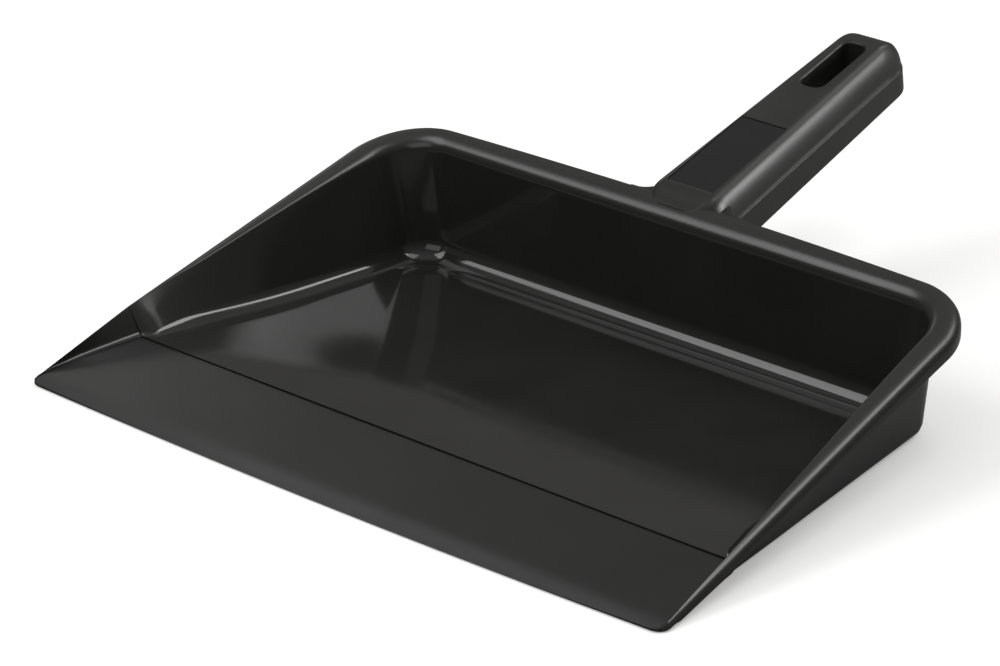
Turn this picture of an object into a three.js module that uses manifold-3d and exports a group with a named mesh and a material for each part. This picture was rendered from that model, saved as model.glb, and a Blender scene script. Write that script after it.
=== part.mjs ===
// A one-handed dustpan: a moulded tray with a rolled rim, a ramped front lip strip, and a hollow
// handle made of two half shells with a hang slot and a blank label plate.
// Millimetres, +Z up. The pan faces -Y, its handle points along +Y, and X = 0 is the mirror plane.

import * as THREE from "three";
import { ConvexGeometry } from "three/addons/geometries/ConvexGeometry.js";
import { mergeVertices } from "three/addons/utils/BufferGeometryUtils.js";
import Module from "manifold-3d";

const wasm = await Module();
wasm.setup();

// ---- driving dimensions -------------------------------------------------------------------

const GAP = 0.3; // clearance between neighbouring pieces
const WALL = 2.8; // moulded wall thickness
const FLOOR = 2.5; // floor thickness
const ARC = 5; // curve subdivisions, doubled on arcs
const FAR = 60; // how far a cutting body runs past what it cuts
const OVERCUT = 5; // the same, for thin plates
const OVERLAP = 1; // how deep neighbouring bodies of one piece run into each other
const MIN_ROUND = 0.5; // least radius of a corner that is inset

// Rim, seen in plan: half widths at the lip, at the lip strip's crest and at the rear.
const LIP_HALF = 155.5;
const CREST_HALF = 154;
const REAR_HALF = 147.5;
const CREST_Y = 51;
const PAN_DEPTH = 203;
const REAR_BOW = 2; // how far the rear edge bulges at the middle
const RIM_CORNER = 32;
const LIP_MIDDLE_Y = -1.9; // the front edge bulges forward at the middle
const LIP_CORNER_Y = 0.9; // and its ends stand back
const LIP_CORNER = 6;
const LIP_EDGE = 1.5; // width of the rim's flat edge at the lip
const CHEEK_LEAN = 3; // how far the cheeks' feet stand in from the rim at the lip

// Rim, seen from the side: height of its top at the same three stations.
const RIM_Z_LIP = 2.2;
const RIM_Z_CREST = 17;
const RIM_Z_REAR = 56;
const RIM_ROUND = 4; // outer rounding of the rolled rim
const SKIRT_LIP = 2.9; // how far the rim's outer skirt hangs down at the lip
const SKIRT_REAR = 8.6; // and at the rear
const SKIRT_WALL = 2.4;

// Tray inside: half widths where the walls would meet the floor, and at the rim.
const FLOOR_HALF_CREST = 141;
const FLOOR_HALF_REAR = 124.4;
const FLOOR_REAR_Y = 190.5;
const FLOOR_CORNER = 16;
const MOUTH_HALF_CREST = 151.2;
const MOUTH_HALF_REAR = 136;
const MOUTH_REAR_Y = 193;
const MOUTH_CORNER = 22;
const MOUTH_ROUND_CREST = 0.8; // inner rounding of the rolled rim at the crest
const MOUTH_ROUND_REAR = 5; // and at the rear
const FLOOR_FILLET = 8;

// Tray outside, where it stands on the ground.
const FOOT_HALF_CREST = 145.3;
const FOOT_HALF_REAR = 128.2;
const FOOT_REAR_Y = 194.6;
const FOOT_CORNER = 13;
const FOOT_ROUND = 4;

// Lip strip: a ramp from the front edge up to a crest that stands above the floor.
const STRIP_HALF_FRONT = 153.2;
const STRIP_SHOULDER_Y = 13;
const STRIP_HALF_CREST = 143.7;
const STRIP_NOSE_Z = 1.4;
const STRIP_CREST_Z = 6.4;

// Handle, in its own frame: s runs along the top face from the root, v is square to that face.
const HANDLE_TILT = THREE.MathUtils.degToRad(15.3);
const HANDLE_ROOT_Y = 206;
const HANDLE_ROOT_Z = 59.3;
const HANDLE_LENGTH = 126.2; // from the root station to the end
const HANDLE_NOSE = 9; // how far the handle runs forward over the rim
const NOSE_NARROWING = 2; // per side, where the handle begins
const NOSE_DROP = 3; // of the top face there
const HANDLE_HALF_ROOT = 18.4;
const HANDLE_HALF_END = 12.8;
const HANDLE_DEPTH = 27;
const SHOULDER = 7; // rounding of the long top edges
const KEEL_ROUND = 1.5; // rounding of the long bottom edges
const END_ROUND = 9.5; // rounding of the end, seen from above
const END_DROOP = 15.5; // and rounding of its top edge, seen from the side
const END_SHARES = [1, 0.8, 0.5, 0.25, 0.1, 0.03, 0]; // of END_DROOP, where the end is sampled
const END_WALL = 3.8;
const SEAM_ROOT = 13; // depth of the seam between the half shells, below the top face
const SEAM_END = 15;
const FLARE = 9; // concave corner between the handle and the rear rim
const FLARE_TOP = 5.5; // depth of the flare's top face below the handle's
const FLARE_DEPTH = 7;
const FLARE_TAIL = 3; // straight ends of the flare, along the rim
const FLARE_S = -2.2; // where the flare's corners meet the rim's rear edge

const SLOT_START = 77.5; // along s
const SLOT_LENGTH = 33;
const SLOT_WIDTH = 11.4;
const SLOT_CORNER = 4;
const SLOT_WALL = 2.4;
const SLOT_WALL_SHORT = 1; // how far that wall stops short of the handle's faces

const LABEL_START = 0.5;
const LABEL_LENGTH = 48;
const LABEL_WIDTH = 22;
const LABEL_THICKNESS = 1.1;
const LABEL_CORNER = 0.8;
const LABEL_SINK = 0.1; // the plate's face lies this far below the handle's

// ---- solids -------------------------------------------------------------------------------

// A closed three.js geometry as a manifold-3d solid.
function solid(geometry) {
  const bare = geometry.clone();
  bare.deleteAttribute("normal");
  bare.deleteAttribute("uv");
  const merged = mergeVertices(bare, 1e-4);
  const mesh = new wasm.Mesh({
    numProp: 3,
    vertProperties: new Float32Array(merged.attributes.position.array),
    triVerts: new Uint32Array(merged.index.array),
  });
  return new wasm.Manifold(mesh);
}

// A manifold-3d solid as a flat-shaded three.js geometry.
function geometryOf(body) {
  const mesh = body.getMesh();
  const geometry = new THREE.BufferGeometry();
  geometry.setAttribute("position", new THREE.BufferAttribute(new Float32Array(mesh.vertProperties), 3));
  geometry.setIndex(new THREE.BufferAttribute(new Uint32Array(mesh.triVerts), 1));
  const flat = geometry.toNonIndexed();
  flat.computeVertexNormals();
  return flat;
}

const hull = (points) => solid(new ConvexGeometry(points));

// The convex body between outlines, each lifted by a function of y and of the point's index.
function hullOfRings(rings) {
  return hull(
    rings.flatMap(([outline, z]) => outline.map((p, i) => new THREE.Vector3(p.x, p.y, z(p.y, i)))),
  );
}

const level = (z) => () => z;

function mix(a, b, t) {
  return a + (b - a) * t;
}

// Height of the rim's top at a distance y behind the lip.
function rimZ(y) {
  if (y < CREST_Y) return mix(RIM_Z_LIP, RIM_Z_CREST, y / CREST_Y);
  return mix(RIM_Z_CREST, RIM_Z_REAR, (y - CREST_Y) / (PAN_DEPTH - CREST_Y));
}

// How far the rim's skirt hangs below its top.
function skirt(y) {
  return mix(SKIRT_LIP, SKIRT_REAR, y / PAN_DEPTH);
}

// ---- plan outlines ------------------------------------------------------------------------

// Half a plan outline mirrored into a whole one: straight sides through the given stations, then a
// round corner and a slightly bowed rear edge.
function panOutline(stations, rearY, corner, bow = 0, inset = 0) {
  const sides = stations.map(([half, y]) => new THREE.Vector2(half - inset, y));
  const back = rearY - inset;
  const radius = Math.max(corner - inset, MIN_ROUND);
  const last = sides[sides.length - 1];
  const previous = sides[sides.length - 2];
  const lean = Math.atan2(previous.x - last.x, last.y - previous.y);
  const centreX = last.x - radius;
  const shape = new THREE.Shape();
  shape.moveTo(0, sides[0].y);
  sides.slice(0, -1).forEach((p) => shape.lineTo(p.x, p.y));
  shape.absarc(centreX, back - radius, radius, lean, Math.PI / 2, false);
  shape.quadraticCurveTo(0, back + 2 * bow, -centreX, back);
  shape.absarc(-centreX, back - radius, radius, Math.PI / 2, Math.PI - lean, false);
  sides.slice(0, -1).reverse().forEach((p) => shape.lineTo(-p.x, p.y));
  return shape.getPoints(ARC);
}

const rimStations = [
  [LIP_HALF, 0],
  [CREST_HALF, CREST_Y],
  [REAR_HALF, PAN_DEPTH],
];

const rimOutline = (inset) => panOutline(rimStations, PAN_DEPTH, RIM_CORNER, REAR_BOW, inset);

// The line of the walls at a given station line, cut off at the crest so the floor stays behind it.
function wallOutline(halfCrest, halfRear, rearY, corner, inset = 0, frontY = CREST_Y) {
  const slope = (halfCrest - halfRear) / (rearY - CREST_Y);
  const front = [halfCrest + slope * (CREST_Y - frontY), frontY];
  return panOutline([front, [halfRear, rearY]], rearY, corner, 0, inset);
}

// ---- pan shell ----------------------------------------------------------------------------

// The full depth of the rim, solid across the pan; grown outwards it serves as a clearance cutter.
function rimBlock(grow = 0) {
  const crown = rimOutline(RIM_ROUND).map((p) => p.y);
  const drop = (angle, y) => Math.min(RIM_ROUND * (1 - Math.sin(angle)), skirt(y));
  const rings = [0, 30, 60, 90].map(THREE.MathUtils.degToRad).map((angle) => [
    rimOutline(RIM_ROUND * (1 - Math.cos(angle)) - grow),
    (y, i) => Math.max(rimZ(crown[i]) - drop(angle, y) + grow, 0),
  ]);
  rings.push([rimOutline(-grow), (y) => Math.max(rimZ(y) - skirt(y) - grow, 0)]);
  return hullOfRings(rings);
}

// The hollow under the rim, between its skirt and the tray's walls.
function rimChannel() {
  const inner = rimOutline(SKIRT_WALL);
  return hullOfRings([
    [inner, (y) => rimZ(y) - WALL],
    [inner, (y) => rimZ(y) - skirt(y) - OVERLAP],
  ]);
}

function trayOutside(grow = 0) {
  const foot = (inset) =>
    wallOutline(FOOT_HALF_CREST, FOOT_HALF_REAR, FOOT_REAR_Y, FOOT_CORNER, inset - grow);
  const bevel = FOOT_ROUND * (1 - Math.SQRT1_2);
  const top = wallOutline(
    MOUTH_HALF_CREST + WALL,
    MOUTH_HALF_REAR + WALL,
    MOUTH_REAR_Y + WALL,
    MOUTH_CORNER + WALL,
    -grow,
  );
  return hullOfRings([
    [foot(FOOT_ROUND), level(0)],
    [foot(bevel), level(bevel)],
    [foot(0), level(FOOT_ROUND)],
    [top, (y) => rimZ(y) - OVERLAP],
  ]);
}

// How far the rim's inner edge is rounded, at a distance y behind the lip.
function mouthRound(y) {
  return mix(MOUTH_ROUND_CREST, MOUTH_ROUND_REAR, (y - CREST_Y) / (MOUTH_REAR_Y - CREST_Y));
}

// The mouth's outline part of the way round its rounded edge, from upright walls at 0 degrees.
function mouthRing(degrees) {
  const angle = THREE.MathUtils.degToRad(degrees);
  const growth = 1 - Math.cos(angle);
  const outline = wallOutline(
    MOUTH_HALF_CREST + MOUTH_ROUND_CREST * growth,
    MOUTH_HALF_REAR + MOUTH_ROUND_REAR * growth,
    MOUTH_REAR_Y + MOUTH_ROUND_REAR * growth,
    MOUTH_CORNER + MOUTH_ROUND_REAR * growth,
    0,
    CREST_Y - OVERLAP,
  );
  return [outline, (y) => rimZ(y) - mouthRound(y) * (1 - Math.sin(angle))];
}

// The space inside the tray behind the crest, with fillets along the floor and a rounded mouth.
function trayInside() {
  const floor = (inset) =>
    wallOutline(FLOOR_HALF_CREST, FLOOR_HALF_REAR, FLOOR_REAR_Y, FLOOR_CORNER, inset, CREST_Y - OVERLAP);
  const fillet = [0, 30, 60, 90].map(THREE.MathUtils.degToRad).map((angle) => [
    floor(FLOOR_FILLET * (1 - Math.sin(angle))),
    level(FLOOR + FLOOR_FILLET * (1 - Math.cos(angle))),
  ]);
  const rings = [0, 35, 65, 90].map(mouthRing);
  const top = rings[rings.length - 1];
  const low = hullOfRings([...fillet, rings[0]]);
  const high = hullOfRings([top, [top[0], level(RIM_Z_REAR + FAR)]]);
  return rings.slice(1).reduce((body, ring, i) => body.add(hullOfRings([rings[i], ring])), low.add(high));
}

const mirrored = ([half, y]) => [new THREE.Vector2(half, y), new THREE.Vector2(-half, y)];

// The two cheeks beside the lip strip, still solid across the pan.
function cheeksOutside() {
  const foot = [[LIP_HALF - CHEEK_LEAN, 0], [FOOT_HALF_CREST, CREST_Y]].flatMap(mirrored);
  const side = [[LIP_HALF, 0], [CREST_HALF, CREST_Y]].flatMap(mirrored);
  const top = [[LIP_HALF - RIM_ROUND, 0], [CREST_HALF - RIM_ROUND, CREST_Y]].flatMap(mirrored);
  return hullOfRings([
    [foot, level(0)],
    [side, (y) => Math.max(rimZ(y) - skirt(y), 0)],
    [top, rimZ],
  ]);
}

const stripPlan = (grow, frontY) =>
  [
    [STRIP_HALF_FRONT + grow, frontY],
    [STRIP_HALF_FRONT + grow, STRIP_SHOULDER_Y],
    [STRIP_HALF_CREST + grow, CREST_Y + grow],
  ].flatMap(mirrored);

// Height of the lip strip's ramp.
function rampZ(y) {
  return mix(STRIP_NOSE_Z, STRIP_CREST_Z, y / CREST_Y);
}

// The room between the cheeks: a straight-sided bed for the strip, opening out above it.
function cheeksInside() {
  const bed = hullOfRings([
    [stripPlan(GAP, -FAR), level(-OVERLAP)],
    [stripPlan(GAP, -FAR), (y) => rampZ(Math.max(y, 0)) + GAP],
  ]);
  const across = ([half, y, z]) => [new THREE.Vector3(half, y, z), new THREE.Vector3(-half, y, z)];
  const backY = CREST_Y + OVERLAP;
  const opening = hull(
    [
      [STRIP_HALF_CREST + GAP, backY, STRIP_CREST_Z],
      [STRIP_HALF_FRONT + GAP, STRIP_SHOULDER_Y, rampZ(STRIP_SHOULDER_Y)],
      [STRIP_HALF_FRONT + GAP, -FAR, STRIP_NOSE_Z],
      [MOUTH_HALF_CREST, backY, RIM_Z_CREST - MOUTH_ROUND_CREST],
      [MOUTH_HALF_CREST + MOUTH_ROUND_CREST, backY, RIM_Z_CREST + GAP],
      [LIP_HALF - LIP_EDGE, 0, RIM_Z_LIP],
      [MOUTH_HALF_CREST + MOUTH_ROUND_CREST, backY, FAR],
      [LIP_HALF - LIP_EDGE, -FAR, FAR],
    ].flatMap(across),
  );
  return bed.add(opening);
}

// The front edge seen from above: bowed forward, with round corners at the tips.
function lipTrim() {
  const shape = new THREE.Shape();
  const centreX = LIP_HALF - LIP_CORNER;
  shape.moveTo(0, PAN_DEPTH + FAR);
  shape.lineTo(-LIP_HALF - FAR, PAN_DEPTH + FAR);
  shape.lineTo(-LIP_HALF - FAR, LIP_CORNER_Y + LIP_CORNER);
  shape.lineTo(-LIP_HALF, LIP_CORNER_Y + LIP_CORNER);
  shape.absarc(-centreX, LIP_CORNER_Y + LIP_CORNER, LIP_CORNER, Math.PI, 1.5 * Math.PI, false);
  shape.quadraticCurveTo(0, 2 * LIP_MIDDLE_Y - LIP_CORNER_Y, centreX, LIP_CORNER_Y);
  shape.absarc(centreX, LIP_CORNER_Y + LIP_CORNER, LIP_CORNER, 1.5 * Math.PI, 2 * Math.PI, false);
  shape.lineTo(LIP_HALF + FAR, LIP_CORNER_Y + LIP_CORNER);
  shape.lineTo(LIP_HALF + FAR, PAN_DEPTH + FAR);
  shape.closePath();
  const depth = RIM_Z_REAR + 2 * FAR;
  const geometry = new THREE.ExtrudeGeometry(shape, { depth, bevelEnabled: false, curveSegments: 2 * ARC });
  return solid(geometry.translate(0, 0, -FAR));
}

function makePanShell() {
  const rim = rimBlock().subtract(rimChannel());
  const walls = trayOutside().add(cheeksOutside());
  return rim.add(walls).subtract(trayInside()).subtract(cheeksInside()).intersect(lipTrim());
}

// ---- lip strip ----------------------------------------------------------------------------

function makeFrontLip() {
  const ramp = hullOfRings([
    [stripPlan(0, -FAR), level(0)],
    [stripPlan(0, LIP_MIDDLE_Y), rampZ],
  ]);
  return ramp.intersect(lipTrim());
}

// ---- handle -------------------------------------------------------------------------------

// A cross-section of the handle, in x and v: round shoulders above, smaller rounds below.
function handleSection(s, inset = 0, narrowing = 0, droop = 0) {
  const half = mix(HANDLE_HALF_ROOT, HANDLE_HALF_END, s / HANDLE_LENGTH) - inset - narrowing;
  const top = -inset - droop;
  const bottom = -HANDLE_DEPTH + inset;
  const high = Math.min(SHOULDER - inset, half);
  const low = Math.max(KEEL_ROUND - inset, MIN_ROUND);
  const shape = new THREE.Shape();
  shape.absarc(half - high, top - high, high, 0, Math.PI / 2, false);
  shape.absarc(-half + high, top - high, high, Math.PI / 2, Math.PI, false);
  shape.absarc(-half + low, bottom + low, low, Math.PI, 1.5 * Math.PI, false);
  shape.absarc(half - low, bottom + low, low, 1.5 * Math.PI, 2 * Math.PI, false);
  return shape.getPoints(ARC).map((p) => new THREE.Vector3(p.x, s, p.y));
}

// A section near the end, narrowed by the end's plan rounding and lowered by that of its top edge.
function endSection(short) {
  const arc = (radius) => radius - Math.sqrt(radius ** 2 - Math.max(radius - short, 0) ** 2);
  return handleSection(HANDLE_LENGTH - short, 0, arc(END_ROUND), arc(END_DROOP));
}

function handleBlock() {
  return hull([
    ...handleSection(-HANDLE_NOSE, 0, NOSE_NARROWING, NOSE_DROP),
    ...handleSection(0),
    ...END_SHARES.flatMap((share) => endSection(share * END_DROOP)),
  ]);
}

// The hollow inside both half shells, blunter at the end than the outside.
function handleHollow() {
  return hull([
    ...handleSection(-HANDLE_NOSE + WALL, WALL),
    ...handleSection(HANDLE_LENGTH - END_DROOP, WALL),
    ...handleSection(HANDLE_LENGTH - END_WALL, WALL, END_ROUND / 3, END_DROOP / 2),
  ]);
}

// A flat plate in the handle's frame: a plan shape in x and s, between two depths v.
function handlePlate(shape, low, high) {
  const geometry = new THREE.ExtrudeGeometry(shape, {
    depth: high - low,
    bevelEnabled: false,
    curveSegments: ARC,
  });
  geometry.translate(0, 0, low);
  return solid(geometry);
}

function roundedRect(width, start, length, corner) {
  const half = width / 2;
  const shape = new THREE.Shape();
  shape.absarc(half - corner, start + corner, corner, -Math.PI / 2, 0, false);
  shape.absarc(half - corner, start + length - corner, corner, 0, Math.PI / 2, false);
  shape.absarc(-half + corner, start + length - corner, corner, Math.PI / 2, Math.PI, false);
  shape.absarc(-half + corner, start + corner, corner, Math.PI, 1.5 * Math.PI, false);
  shape.closePath();
  return shape;
}

// The hang slot's own cutting prism, or with a wall round it the boss that lines the slot.
function slotPrism(wall) {
  const shape = roundedRect(
    SLOT_WIDTH + 2 * wall,
    SLOT_START - wall,
    SLOT_LENGTH + 2 * wall,
    SLOT_CORNER + wall,
  );
  const past = wall ? -SLOT_WALL_SHORT : OVERCUT;
  return handlePlate(shape, -HANDLE_DEPTH - past, past);
}

// The concave corners that spread the handle into the rear rim.
function flare() {
  const side = HANDLE_HALF_ROOT - MIN_ROUND;
  const tail = side + FLARE + FLARE_TAIL;
  const shape = new THREE.Shape();
  shape.moveTo(tail, -HANDLE_NOSE);
  shape.lineTo(tail, FLARE_S);
  shape.absarc(side + FLARE, FLARE + FLARE_S, FLARE, -Math.PI / 2, -Math.PI, true);
  shape.absarc(-side - FLARE, FLARE + FLARE_S, FLARE, 0, -Math.PI / 2, true);
  shape.lineTo(-tail, FLARE_S);
  shape.lineTo(-tail, -HANDLE_NOSE);
  shape.closePath();
  return handlePlate(shape, -FLARE_TOP - FLARE_DEPTH, -FLARE_TOP);
}

// Everything on one side of the sloping seam between the half shells, across the whole handle.
function seamHalf(above, gap) {
  const far = above ? FAR : -FAR;
  const corners = [-FAR, HANDLE_LENGTH + FAR].flatMap((s) => {
    const v = -mix(SEAM_ROOT, SEAM_END, s / HANDLE_LENGTH) + gap;
    return [-FAR, FAR].flatMap((x) => [new THREE.Vector3(x, s, v), new THREE.Vector3(x, s, v + far)]);
  });
  return hull(corners);
}

// From the handle's frame to the pan's.
const handlePose = new THREE.Matrix4()
  .makeTranslation(0, HANDLE_ROOT_Y, HANDLE_ROOT_Z)
  .multiply(new THREE.Matrix4().makeRotationX(HANDLE_TILT));

const placeHandle = (body) => body.transform(handlePose.toArray());

const panClearance = () => rimBlock(GAP).add(trayOutside(GAP));

function makeHandleUpper() {
  const shell = handleBlock().subtract(handleHollow());
  const pocket = roundedRect(
    LABEL_WIDTH + 2 * GAP,
    LABEL_START - GAP,
    LABEL_LENGTH + 2 * GAP,
    LABEL_CORNER + GAP,
  );
  const boss = slotPrism(SLOT_WALL).intersect(handleBlock());
  const upper = shell
    .add(boss)
    .add(flare().subtract(handleHollow()))
    .intersect(seamHalf(true, 0))
    .subtract(slotPrism(0))
    .subtract(handlePlate(pocket, -LABEL_THICKNESS - GAP, OVERCUT));
  return placeHandle(upper).subtract(panClearance());
}

function makeHandleLower() {
  const boss = slotPrism(SLOT_WALL).intersect(handleBlock());
  const lower = handleBlock()
    .subtract(handleHollow())
    .add(boss)
    .intersect(seamHalf(false, -GAP))
    .subtract(slotPrism(0));
  return placeHandle(lower).subtract(panClearance());
}

function makeLabelPlate() {
  const shape = roundedRect(LABEL_WIDTH, LABEL_START, LABEL_LENGTH, LABEL_CORNER);
  return placeHandle(handlePlate(shape, -LABEL_THICKNESS, -LABEL_SINK));
}

// ---- the assembly -------------------------------------------------------------------------

const satinBlack = { color: 0x1c1c1b, roughness: 0.34, metalness: 0 };
const matteBlack = { color: 0x30302f, roughness: 0.6, metalness: 0 };
const glossBlack = { color: 0x181818, roughness: 0.28, metalness: 0 };

function piece(name, body, look) {
  const mesh = new THREE.Mesh(geometryOf(body), new THREE.MeshStandardMaterial(look));
  mesh.name = name;
  return mesh;
}

const handle = new THREE.Group();
handle.add(
  piece("handle_upper", makeHandleUpper(), satinBlack),
  piece("handle_lower", makeHandleLower(), satinBlack),
  piece("label_plate", makeLabelPlate(), glossBlack),
);

const pan = new THREE.Group();
pan.add(
  piece("pan_shell", makePanShell(), satinBlack),
  piece("front_lip", makeFrontLip(), matteBlack),
);

const dustpan = new THREE.Group();
dustpan.add(pan, handle);

// The origin is on the ground under the middle of the object's length.
const box = new THREE.Box3().setFromObject(dustpan);
const middleY = (box.min.y + box.max.y) / 2;
pan.position.y = -middleY;
handle.position.y = -middleY;

export default dustpan;
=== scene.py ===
"""A one-handed dustpan of black moulded plastic, on a pale studio floor.

Lengths are in millimetres in the pan's own frame: x = 0 is the mirror plane, y = 0 is near the
front lip and z = 0 is the ground. row() turns a point of that frame into metres in the row frame.
"""

import math

import bmesh
import bpy
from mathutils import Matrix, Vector


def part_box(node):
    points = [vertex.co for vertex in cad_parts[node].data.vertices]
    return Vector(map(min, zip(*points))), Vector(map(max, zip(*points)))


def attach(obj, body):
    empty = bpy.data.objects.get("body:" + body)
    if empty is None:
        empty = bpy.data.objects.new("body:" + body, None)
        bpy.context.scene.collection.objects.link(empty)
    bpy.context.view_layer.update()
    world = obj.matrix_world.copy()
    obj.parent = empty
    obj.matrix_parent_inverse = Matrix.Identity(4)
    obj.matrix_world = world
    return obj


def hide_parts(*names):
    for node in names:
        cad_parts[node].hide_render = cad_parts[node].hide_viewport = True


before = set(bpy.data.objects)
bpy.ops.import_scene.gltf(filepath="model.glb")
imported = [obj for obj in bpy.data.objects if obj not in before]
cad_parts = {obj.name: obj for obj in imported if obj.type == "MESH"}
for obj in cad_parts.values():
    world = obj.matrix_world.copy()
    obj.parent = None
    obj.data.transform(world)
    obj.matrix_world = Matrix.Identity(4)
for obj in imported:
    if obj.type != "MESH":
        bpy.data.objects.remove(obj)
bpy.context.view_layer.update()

# ---- driving dimensions: the pan -----------------------------------------------------------

FLOOR = 2.5  # thickness of the tray's floor
WALL = 2.8  # thickness of its walls and of the flange around them
GAP = 0.3  # between the lip strip and the pan

CREST_Y = 51.0  # the lip strip ends here and the tray's floor begins
LIP_MIDDLE_Y = -1.9  # the front edge bows forward in the middle
LIP_CORNER_Y = 0.9
LIP_CORNER = 6.0  # radius of the front corners, seen from above

RIM_HALF = (155.5, 153.98, 147.3)  # half widths at the lip, the crest and the rear
RIM_REAR_Y = 202.8
RIM_CORNER = 32.2  # radius of the rear corners, seen from above
REAR_BOW = 2.0  # how far the rear rim bows out in the middle
RIM_ROUND = 4.8  # outer rounding of the rolled rim
RIM_Z = (2.0, 16.9, 55.85)  # heights at the same three stations
SKIRT_DROP = (2.9, 8.6)  # how far the skirt hangs down at the lip and at the rear
SKIRT_WALL = 2.4
SKIRT_ROUND = 0.6  # rounding of the skirt's lower edges
FLANGE_ROUND = 1.5  # and of the corners under the flange

FLOOR_HALF = (141.0, 124.4)  # where walls and floor would meet, at the crest and at the rear
FLOOR_REAR_Y = 190.5
FLOOR_CORNER = 16.0
FLOOR_FILLET = 9.0
FLOOR_RISE = 3.4  # the floor bows up towards the crest
FLOOR_BOW = 75.0  # over this length
FLOOR_INSET = 12.0  # the flat part of the floor starts this far inside the walls

MOUTH_HALF = (154.0, 150.8, 136.0)  # the walls' top edge at the lip, the crest and the rear
MOUTH_REAR_Y = 191.3
MOUTH_CORNER = 22.0
MOUTH_ROUND = (1.0, 8.0)  # rounding of that edge, at the crest and at the rear
MOUTH_POWER = 5  # how late it grows from one to the other

FOOT_HALF = (152.5, 145.3, 128.2)  # the walls' outer foot on the ground
FOOT_REAR_Y = 194.6
FOOT_CORNER = 13.0
FOOT_ROUND = 5.0
LEAST_CORNER = 0.5  # an outline that is moved inwards keeps at least this radius

# ---- driving dimensions: the lip strip and the cheeks beside it -------------------------------

STRIP_HALF = (153.2, 143.7)  # of the lip strip, at its shoulder and at its crest
STRIP_SHOULDER_Y = 13.0
STRIP_Z = (2.0, 6.2)  # heights of the ramp at the lip and at the crest
STRIP_SIDE_ROUND = 0.35
RAMP_BEND = 9.0  # the ramp curves down over this length
RAMP_DROP = 1.2
RAMP_START = 0.8  # behind the front edge, where its rounding is over
EDGE_FOOT_Z = 0.1  # the front edge stands this far off the ground
EDGE_UNDERCUT = 1.0  # and the underside reaches the ground this far behind it
EDGE_ROUNDS = (0.15, 0.45)  # rounding of the front edge, below and above
CREST_ROUND = 2.0

CHEEK_START = 1.5  # the cheeks begin this far behind the front edge's ends
CHEEK_END = 0.1  # and stop this far before the crest
CHEEK_SINK = 0.05  # how far the cheek's inner edge lies below the ramp
CHEEK_STEP = 1.8  # from the strip's side to the foot of the cheek's slope
CHEEK_RIM = 1.5  # least width of the cheek's top
CHEEK_FILLET = (1.0, 3.5)  # between its foot and its slope, at the lip and at the crest
CHEEK_SHIFT = 3.2  # how far outside the walls' foot the cheeks' slope would meet the floor
CREST_BLEND = 5.0  # length over which the walls' foot moves in behind the crest
FILLET_BLEND = 24.0  # and over which the fillet above it grows

# where the cheek is narrow, its parts are held to these shares of its width
STEP_SHARE = 0.4
RIM_SHARE = 0.35
SKIRT_SHARE = 0.3
FOOT_SHARE = 0.1

# ---- driving dimensions: the handle, with s along its top face and v square to it ------------

HANDLE_TILT = math.radians(15.3)
HANDLE_ROOT = (206.0, 59.3)  # y and z of the top face's root
HANDLE_LENGTH = 126.8
HANDLE_HALF = (18.4, 12.8)  # half widths at the root and at the end
HANDLE_DEPTH = 27.0
SHOULDER_ACROSS = (6.8, 4.8)  # the top's rounding, across, at the root and at the end
SHOULDER_DOWN = 13.0  # and down the side
SHOULDER_LEAST = 0.3  # what is left of it at the end
SHOULDER_POWER = 2.25  # 2 is an ellipse; more starts gentler
SEAM_CLEAR = 0.5  # the side stays straight this far above the seam
KEEL_ROUND = 2.0  # of the lower edges along the sides
KEEL_END_ROUND = 3.0  # and at the end
UPPER_DRAFT = 0.3  # how far the sides lean in, per side, above the seam
LOWER_DRAFT = 0.9  # and below it
END_ROUND = 9.5  # rounding of the end, seen from above
END_DROOP = 15.8  # and of its top edge, seen from the side
NOSE_START = -11.4  # s where the top face runs out on the rim
NOSE_END = 0.2  # s where it starts to slope down to the rim
NOSE_FALL = 2.3
NOSE_CORNER = 7.5  # rounding of the nose, seen from above
NOSE_BLUNTNESS = 0.98  # 1 would round it to a full quarter ellipse
LOWER_START = -9.0  # s where the lower half begins, under the rim
SEAM_DEPTH = (13.0, 15.0)  # below the top face, at the root and at the end
SEAM_GAP = 0.2
SEAM_LEDGE = 0.25  # how far the lower half stands out from the upper
UPPER_EDGE = 0.2  # rounding of the halves' sharp edges
LOWER_EDGE = 0.35

SLOT = (77.5, 33.0, 11.4, 4.0)  # start along s, length, width and corner radius
SLOT_EDGE = 1.0  # rounding of the slot's top edge
LABEL = (0.5, 48.0, 22.0, 0.8)  # the same four
LABEL_DEPTH = 1.4  # of its recess
LABEL_SINK = 0.15  # how far it lies below the top face
LABEL_GAP = 0.3  # around it
LABEL_EDGE = 0.2

FLARE = 9.0  # radius of the concave corners between the handle and the rim
FLARE_TOP = 5.3  # depth of their top below the handle's top face
FLARE_DEPTH = 7.0  # and their thickness
FLARE_EDGE = 1.8
FLARE_S = -2.0  # s where the arcs run out on the rim
FLARE_TUCK = 2.2  # how far the corners' arcs end inside the handle
FLARE_TAIL = 3.0  # straight part beyond the arcs, inside the rim

# ---- how finely the surfaces are divided ----------------------------------------------------

TIP_STEPS = 12  # lengthways, from the tips to the strip's shoulder
CHEEK_STEPS = 16  # to the crest
SIDE_STEPS = 26  # to the rear corners
SIDE_CROWDING = 1.6  # they stand closer together just behind the crest
CORNER_STEPS = 20
REAR_STEPS = 12
ROLL_STEPS = 8  # round the rim's outer edge
INNER_STEPS = 8  # in each arc inside the tray
UNDER_STEPS = 3  # in each arc under it
RAMP_STEPS = 24  # from the front edge to the crest
EDGE_STEPS = 4  # in each arc of the lip strip
STRIP_STEPS = 60  # across the middle of the lip strip
STRIP_MIDDLE = 0.97  # which is this share of its width
STRIP_END_STEPS = 10  # from there to either end
SHOULDER_STEPS = 16
KEEL_STEPS = 6
NOSE_STEPS = 10
NOSE_BEHIND = 2.0  # the nose's stations run this far past its end
END_STEPS = 14
PLAN_STEPS = 10  # in each corner of the slot and the label
FLARE_STEPS = 14

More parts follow.
